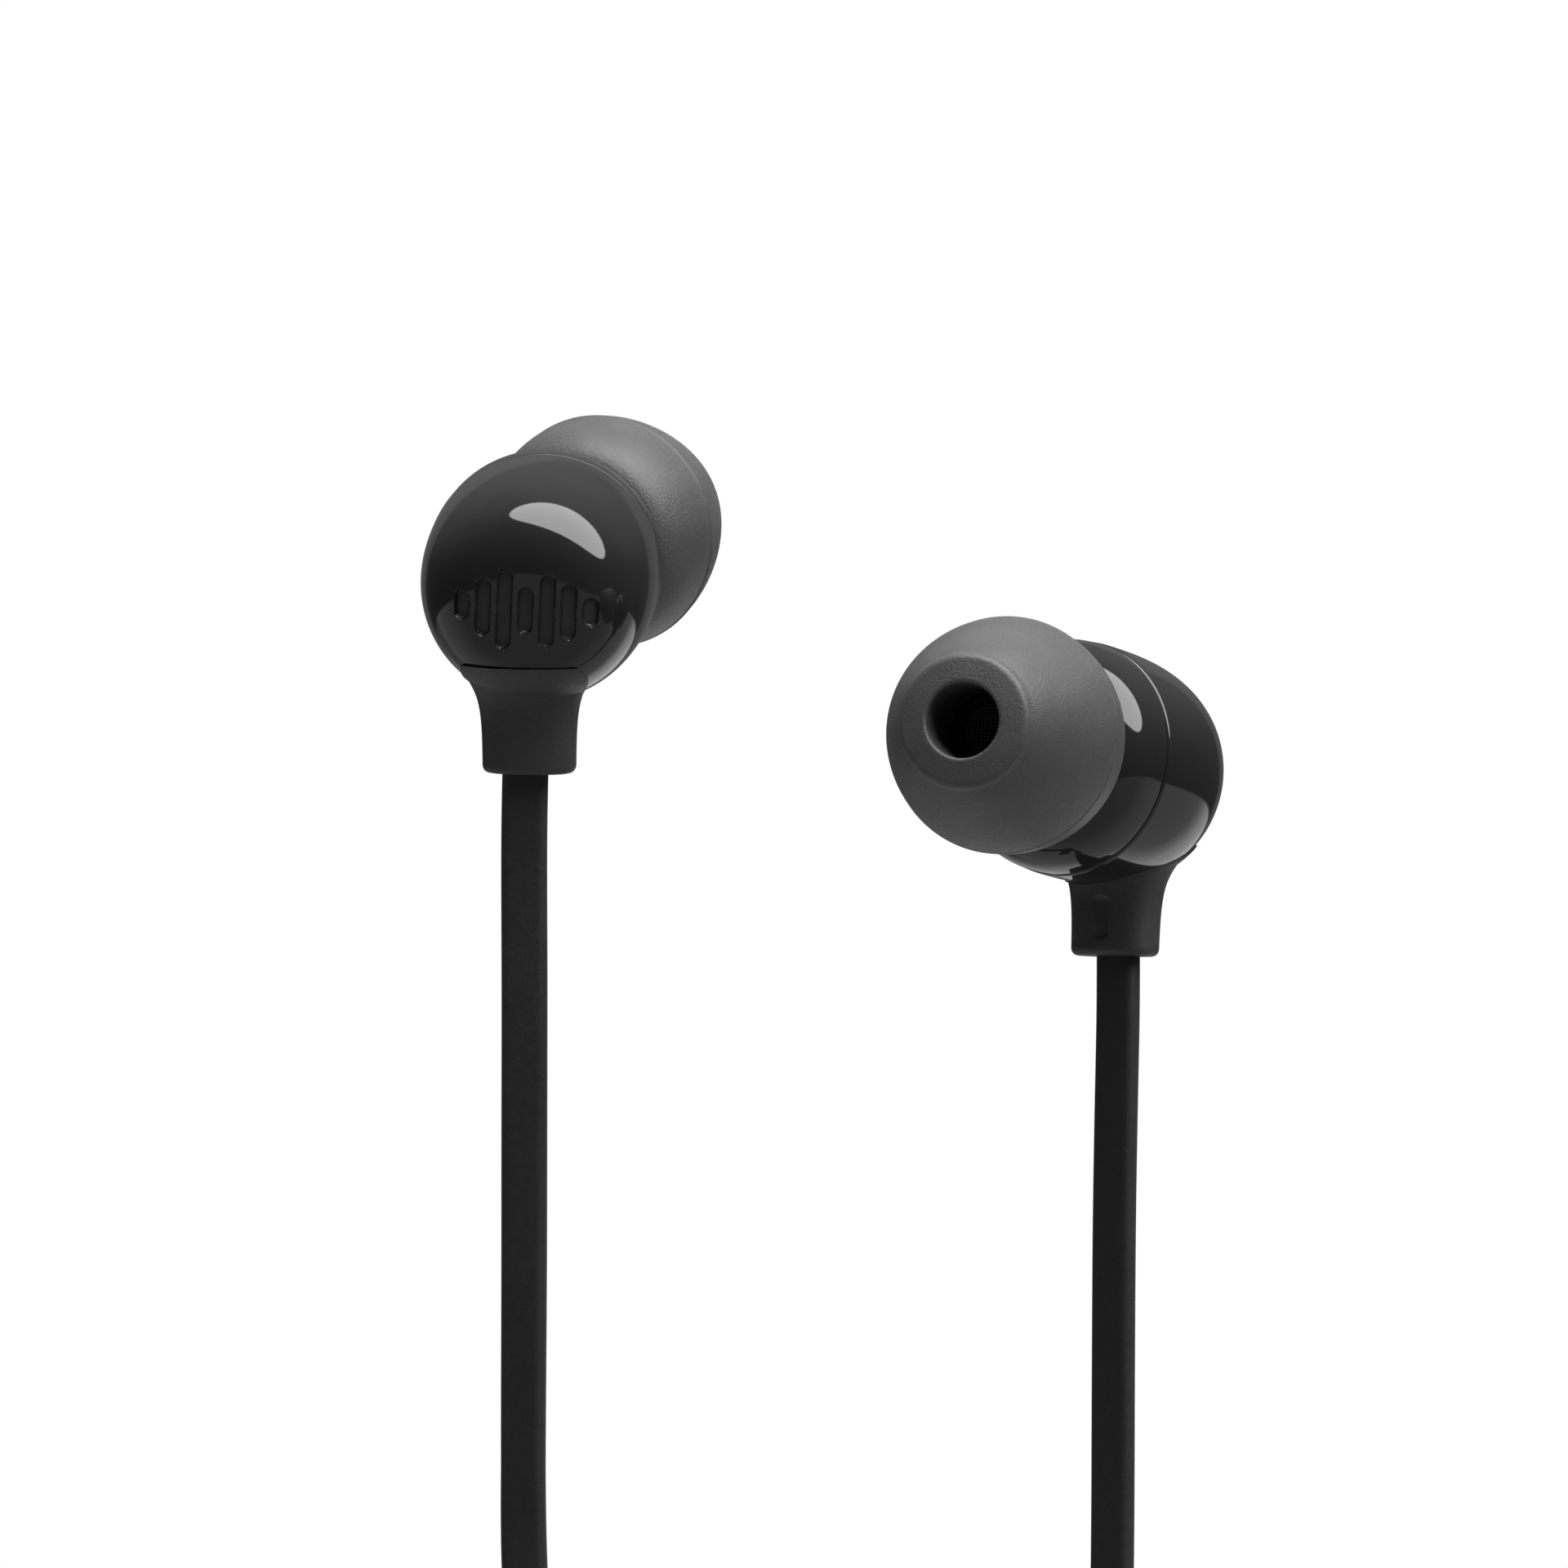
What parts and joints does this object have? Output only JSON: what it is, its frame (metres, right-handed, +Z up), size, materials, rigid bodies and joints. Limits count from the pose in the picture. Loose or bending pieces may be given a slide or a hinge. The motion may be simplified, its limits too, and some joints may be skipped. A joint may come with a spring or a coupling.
{
  "type": "wired earphones",
  "caption": "In-ear earphones on flat cords: two angled buds with soft tips, an inline one-button remote, a splitter, a plug and the spare cord in a tied hank",
  "frame": {"origin": "midway between the two ears that hold the buds, at the mount ear_hold; the cords hang from there", "axes": "+X towards the left-ear bud, +Y away from the viewer who sees the left bud's tip, +Z up"},
  "size_m": [0.0418, 0.039, 0.2072],
  "materials": {
    "housing_gloss": "black moulded plastic, semi-gloss, softly mirrored",
    "tip_silicone": "dark grey silicone, satin",
    "relief_rubber": "black moulded elastomer, fine matte grain",
    "cord_jacket": "black flat cable jacket, fine matte grain",
    "nozzle_mesh": "fine woven steel screen",
    "driver_steel": "stamped steel",
    "driver_plastic": "moulded driver basket",
    "diaphragm_film": "thin clear polymer film",
    "coil_copper": "enamelled copper winding",
    "magnet_nickel": "nickel-plated magnet",
    "circuit_board": "green solder mask",
    "remote_gloss": "black moulded plastic, semi-gloss",
    "remote_matte": "black moulded plastic, fine grain",
    "button_matte": "black button cap, satin",
    "splitter_gloss": "black moulded block",
    "tie_silicone": "soft black strap",
    "plug_grip_matte": "black moulded grip",
    "plug_plastic": "black insulating collars",
    "plug_gold": "gold-plated contacts"
  },
  "bodies": {
    "root": {"left_front_shell": "housing_gloss", "left_rear_shell": "housing_gloss", "left_nozzle_screen": "nozzle_mesh", "left_strain_relief": "relief_rubber", "left_driver_grille": "driver_steel", "left_diaphragm": "diaphragm_film", "left_driver_frame": "driver_plastic", "left_voice_coil": "coil_copper", "left_top_plate": "driver_steel", "left_magnet": "magnet_nickel", "left_yoke": "driver_steel", "left_terminal_board": "circuit_board", "right_front_shell": "housing_gloss", "right_rear_shell": "housing_gloss", "right_nozzle_screen": "nozzle_mesh", "right_strain_relief": "relief_rubber", "right_driver_grille": "driver_steel", "right_diaphragm": "diaphragm_film", "right_driver_frame": "driver_plastic", "right_voice_coil": "coil_copper", "right_top_plate": "driver_steel", "right_magnet": "magnet_nickel", "right_yoke": "driver_steel", "right_terminal_board": "circuit_board", "left_cord": "cord_jacket", "right_cord_upper": "cord_jacket", "right_cord_lower": "cord_jacket", "cord_hank": "cord_jacket", "plug_cord": "cord_jacket", "cord_tie": "tie_silicone", "cord_splitter": "splitter_gloss", "remote_front_shell": "remote_gloss", "remote_rear_shell": "remote_matte", "remote_circuit_board": "circuit_board", "remote_dome_switch": "driver_steel", "remote_microphone": "driver_steel", "remote_upper_relief": "relief_rubber", "remote_lower_relief": "relief_rubber", "plug_strain_relief": "relief_rubber", "plug_grip": "plug_grip_matte", "plug_insulator": "plug_plastic", "plug_sleeve_contact": "plug_gold", "plug_lower_ring": "plug_gold", "plug_upper_ring": "plug_gold", "plug_tip_contact": "plug_gold"},
    "left_tip": {"left_ear_tip": "tip_silicone"},
    "right_tip": {"right_ear_tip": "tip_silicone"},
    "button": {"remote_button": "button_matte"}
  },
  "joints": [
    {"name": "left_tip_pull", "type": "slide", "parent": "root", "child": "left_tip", "axis": [-0.2941, -0.9504, 0.1016], "range_m": [0, 0.008]},
    {"name": "right_tip_pull", "type": "slide", "parent": "root", "child": "right_tip", "axis": [0.3841, 0.9102, 0.155], "range_m": [0, 0.008]},
    {"name": "button_press", "type": "slide", "parent": "root", "child": "button", "axis": [0.0277, 0.9883, -0.1499], "range_m": [0, 0.0002], "stiffness_N_per_m": 2000}
  ]
}
